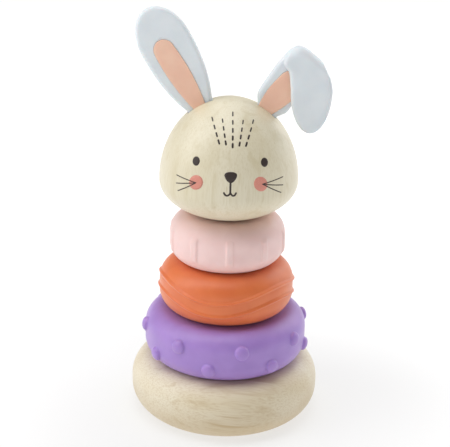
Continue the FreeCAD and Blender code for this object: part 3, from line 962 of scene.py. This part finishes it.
def stroke(points, width, proud=INK_DEPTH):
    """A line of ink with rounded ends through the given (x, up) points."""
    points = through(points, 8 * len(points))
    way = np.gradient(points, axis=0)
    way /= np.linalg.norm(way, axis=1, keepdims=True)
    turns = np.radians((90, 60, 30))
    starts = [points[0] - way[0] * width / 2 * math.sin(t) for t in turns]
    ends = [points[-1] + way[-1] * width / 2 * math.sin(t) for t in turns[::-1]]
    caps = [math.cos(t) for t in turns]
    centre = np.concatenate([starts, points, ends])
    way = np.concatenate([[way[0]] * 3, way, [way[-1]] * 3])
    half = width / 2 * np.array(caps + [1] * len(points) + caps[::-1])
    side = np.stack([-way[:, 1], way[:, 0]], 1)
    shares = (-1, -0.4, 0.4, 1)
    flat = np.stack([centre + side * (half * share)[:, None] for share in shares], 1)
    return ink(flat, proud)


def blob(centre, outline):
    """A filled shape of ink; outline gives its points about the centre, round once."""
    rings = [np.array(centre) + share * outline for share in (0, 0.35, 0.7, 1)]
    top = [on_head(ring[:, 0], ring[:, 1], INK_DEPTH) for ring in rings]
    bottom = [on_head(ring[:, 0], ring[:, 1], -INK_DEPTH) for ring in rings]
    return join_loops(top + bottom[::-1])


def oval(half_width, half_height):
    turn = np.linspace(0, 2 * math.pi, OVAL_POINTS, endpoint=False)
    return np.stack([half_width * np.cos(turn), half_height * np.sin(turn)], 1)


def print_on_head(name, shapes, material):
    """One piece from several inked shapes."""
    points, faces, start = [], [], 0
    for shape_points, shape_faces in shapes:
        points.append(shape_points)
        faces += [tuple(start + i for i in face) for face in shape_faces]
        start += len(shape_points)
    piece = make_piece(name, np.concatenate(points), faces, material)
    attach(piece, "rabbit")


def leaned(outline, lean):
    """The outline with its points raised or lowered in proportion to their distance sideways."""
    return outline + np.stack([np.zeros(len(outline)), lean * outline[:, 0]], 1)


def nose():
    """A rounded triangle: wide round top, sides drawn down to a rounded point."""
    turn = np.linspace(0, 2 * math.pi, NOSE_POINTS, endpoint=False)
    x = NOSE_HALF_WIDTH * np.cos(turn) * (1 + NOSE_TAPER * np.sin(turn))
    up = NOSE_HEIGHT / 2 * np.sin(turn) * np.where(np.sin(turn) > 0, NOSE_ABOVE, NOSE_BELOW)
    return np.stack([x, up], 1)


# a dash starts in its own share of the line, and fills a part of that share
DASH_DROP = 0.03
DASH_FILL = 0.34
DASH_FILL_GROWTH = 0.12
DASH_WIDTH = 0.6
DASH_WIDTH_GROWTH = 0.07


def dashes(top, bottom, count):
    """Dashes down a line, each longer and bolder than the one above it."""
    top, bottom = np.array(top), np.array(bottom)
    strokes = []
    for i in range(count):
        start = i / count + DASH_DROP * (count - 1 - i) / count
        end = start + (DASH_FILL + DASH_FILL_GROWTH * i / count) / count
        points = [top + start * (bottom - top), top + end * (bottom - top)]
        strokes.append(stroke(points, DASH_WIDTH + DASH_WIDTH_GROWTH * i))
    return strokes


MARK_COLUMNS = 5
MARK_DASHES = 4
MARK_TOP = 48.3
MARK_BOTTOM = 37.6
MARK_TILT = 0.2
MARK_SPACING_TOP = 4.55
MARK_SPACING_BOTTOM = 2.6
MARK_SHIFT = 0.8
MIDDLE_MARK_RISE = 2.7
MIDDLE_MARK_FALL = 0.9


def forehead_marks():
    """A fan of dashed columns; the middle one is longer, with one dash more."""
    marks = []
    for column in range(MARK_COLUMNS):
        place = column - (MARK_COLUMNS - 1) / 2
        middle = place == 0
        drop = place * MARK_TILT
        high = MARK_TOP - drop + middle * MIDDLE_MARK_RISE
        low = MARK_BOTTOM - drop - middle * MIDDLE_MARK_FALL
        top = (MARK_SHIFT + place * MARK_SPACING_TOP, high)
        bottom = (MARK_SHIFT + place * MARK_SPACING_BOTTOM, low)
        marks += dashes(top, bottom, MARK_DASHES + middle)
    return marks


def leaned_oval(side, across, height, half_size):
    """An eye or a cheek, leaning with the face; side is -1 on the left and 1 on the right."""
    return blob((across, height), leaned(oval(*half_size), -side * OVAL_LEAN))


def make_face():
    """Six printed pieces: eyes, nose, mouth, cheeks, whiskers and forehead marks."""
    dark = make_print("dark_print", (50, 38, 34), (64, 52, 46))
    blush = make_print("blush_print", (214, 138, 122), (220, 150, 132))
    sides = (-1, 1)
    eyes = [leaned_oval(side, side * EYE_ACROSS, EYE_HEIGHT, EYE_HALF_SIZE) for side in sides]
    print_on_head("printed_eyes", eyes, dark)
    print_on_head("printed_nose", [blob(NOSE_PLACE, nose())], dark)
    middle = (LIP_X, SMILE_MIDDLE)
    mouth = [
        stroke([(LIP_X, LIP_TOP), (LIP_X, LIP_FOOT)], LIP_WIDTH),
        stroke([(-2.6, LIP_FOOT), (-2.0, 18.5), (-1.2, 18.25), (-0.4, 18.65), middle], SMILE_WIDTH),
        stroke([(2.6, LIP_FOOT), (2.1, 18.5), (1.4, 18.25), (0.7, 18.65), middle], SMILE_WIDTH),
    ]
    print_on_head("printed_mouth", mouth, dark)
    cheeks = [
        leaned_oval(side, side * CHEEK_ACROSS + CHEEK_SHIFT, CHEEK_HEIGHT, CHEEK_HALF_SIZE)
        for side in sides
    ]
    print_on_head("printed_cheeks", cheeks, blush)
    whiskers = []
    for side in sides:
        root = (side * WHISKER_ROOT[0] + WHISKER_SHIFT, WHISKER_ROOT[1])
        for across, height in WHISKER_ENDS:
            whiskers.append(stroke([root, (side * across, height)], WHISKER_WIDTH, WHISKER_PROUD))
    print_on_head("printed_whiskers", whiskers, dark)
    print_on_head("printed_forehead_marks", forehead_marks(), dark)


# ---------------------------------------------------------------- wood and steel of the CAD parts


def paint_cad_nodes():
    """The four pieces that stay as they are in the CAD model get their materials."""
    materials = {
        "base": make_base_wood(),
        "post": make_post_wood(),
        "head": make_head_wood(),
        "base_screw": make_steel(),
    }
    for node, material in materials.items():
        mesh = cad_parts[node].data
        mesh.materials.clear()
        mesh.materials.append(material)


# ---------------------------------------------------------------- stage, light and camera

CAMERA_TARGET = Vector((-1.214, 0, 92.086)) * MM
CAMERA_PITCH = 19.688
CAMERA_DISTANCE = 480 * MM
CAMERA_ROLL = 1.318
LENS = 82.02
SENSOR = 36

# the floor's painted glow rises from WEAK to STRONG between two distances from the post, in metres, so
# the floor is painted darker close to the toy
FLOOR_HALF_SIZE = 40.0
FLOOR_SHADE = 0.3
GLOW_NEAR = 0.05
GLOW_FAR = 0.24
GLOW_WEAK = 0.66
GLOW_STRONG = 0.95

# the world is white at the horizon and fades to its own strength, by the sine of the height
HORIZON_FADE = (0.05, 0.17)
HORIZON_STRENGTH = 1.0
WORLD_STRENGTH = 0.19

# name, turn, rise, size and power of each
SOFTBOX_DISTANCE = 0.8
SOFTBOXES = (
    ("left_softbox", -79, 39, (0.5, 0.8), 3.4),
    ("top_softbox", -20, 80, (0.5, 0.5), 2.4),
    ("right_softbox", 127, 29, (0.7, 0.6), 2.5),
    ("back_softbox", 180, 60, (0.6, 0.5), 1.2),
)


def make_floor():
    """A pale floor with a painted glow, white at a distance and weaker close by, where it also takes
    the toy's shadow.
    """
    size = FLOOR_HALF_SIZE
    mesh = bpy.data.meshes.new("floor")
    corners = [(-size, -size, 0), (size, -size, 0), (size, size, 0), (-size, size, 0)]
    mesh.from_pydata(corners, [], [(0, 1, 2, 3)])
    floor = bpy.data.objects.new("floor", mesh)
    bpy.context.scene.collection.objects.link(floor)
    paint = Paint("floor")
    paint.set(Base_Color=(FLOOR_SHADE,) * 3 + (1,), Roughness=0.9, Specular_IOR_Level=0.0)
    paint.set(Emission_Color=(1, 1, 1, 1))
    coordinates = paint.node("TexCoord")
    distance = paint.node("VectorMath", operation="LENGTH")
    paint.join(coordinates.outputs["Object"], distance.inputs[0])
    # painted glow: weaker near the post, so the floor is painted darker round the toy
    glow = paint.ramp(distance.outputs["Value"], GLOW_NEAR, GLOW_FAR, GLOW_WEAK, GLOW_STRONG)
    paint.join(glow, paint.shader.inputs["Emission Strength"])
    mesh.materials.append(paint.material)


def make_softbox(name, turn, rise, size, power):
    """An area light aimed at the toy's middle; turn and rise say where it hangs, in degrees."""
    light = bpy.data.lights.new(name, "AREA")
    light.shape = "RECTANGLE"
    light.size, light.size_y = size
    light.energy = power
    lamp = bpy.data.objects.new(name, light)
    bpy.context.scene.collection.objects.link(lamp)
    turn, rise = math.radians(turn), math.radians(rise)
    way = Vector((math.sin(turn) * math.cos(rise), -math.cos(turn) * math.cos(rise), math.sin(rise)))
    middle = (cad_low + cad_high) / 2
    lamp.location = middle + way * SOFTBOX_DISTANCE
    lamp.rotation_euler = (-way).to_track_quat("-Z", "Y").to_euler()


def make_world():
    """Soft light all round, with a white band along the horizon where the floor ends."""
    world = bpy.data.worlds.new("studio")
    bpy.context.scene.world = world
    world.use_nodes = True
    tree = world.node_tree
    background = tree.nodes["Background"]
    background.inputs["Color"].default_value = (1, 1, 1, 1)
    coordinates = tree.nodes.new("ShaderNodeTexCoord")
    parts = tree.nodes.new("ShaderNodeSeparateXYZ")
    band = tree.nodes.new("ShaderNodeMapRange")
    band.interpolation_type = "SMOOTHSTEP"
    band.inputs["From Min"].default_value = HORIZON_FADE[0]
    band.inputs["From Max"].default_value = HORIZON_FADE[1]
    band.inputs["To Min"].default_value = HORIZON_STRENGTH
    band.inputs["To Max"].default_value = WORLD_STRENGTH
    tree.links.new(coordinates.outputs["Generated"], parts.inputs["Vector"])
    tree.links.new(parts.outputs["Z"], band.inputs["Value"])
    tree.links.new(band.outputs["Result"], background.inputs["Strength"])


def make_camera():
    """In front of the toy and a little above it, rolled slightly about the line of sight."""
    data = bpy.data.cameras.new("camera")
    data.lens = LENS
    data.sensor_width = SENSOR
    camera = bpy.data.objects.new("camera", data)
    bpy.context.scene.collection.objects.link(camera)
    pitch, roll = math.radians(CAMERA_PITCH), math.radians(CAMERA_ROLL)
    back = Vector((0, -math.cos(pitch), math.sin(pitch)))
    right = Vector((1, 0, 0))
    up = back.cross(right)
    rolled_right = right * math.cos(roll) + up * math.sin(roll)
    rolled_up = up * math.cos(roll) - right * math.sin(roll)
    turn = Matrix((rolled_right, rolled_up, back)).transposed()
    camera.matrix_world = Matrix.Translation(CAMERA_TARGET + back * CAMERA_DISTANCE) @ turn.to_4x4()
    bpy.context.scene.camera = camera


make_camera()
make_rings()
make_ears()
make_face()
paint_cad_nodes()
make_floor()
make_world()
for softbox in SOFTBOXES:
    make_softbox(*softbox)
bpy.context.scene.view_settings.view_transform = "Standard"
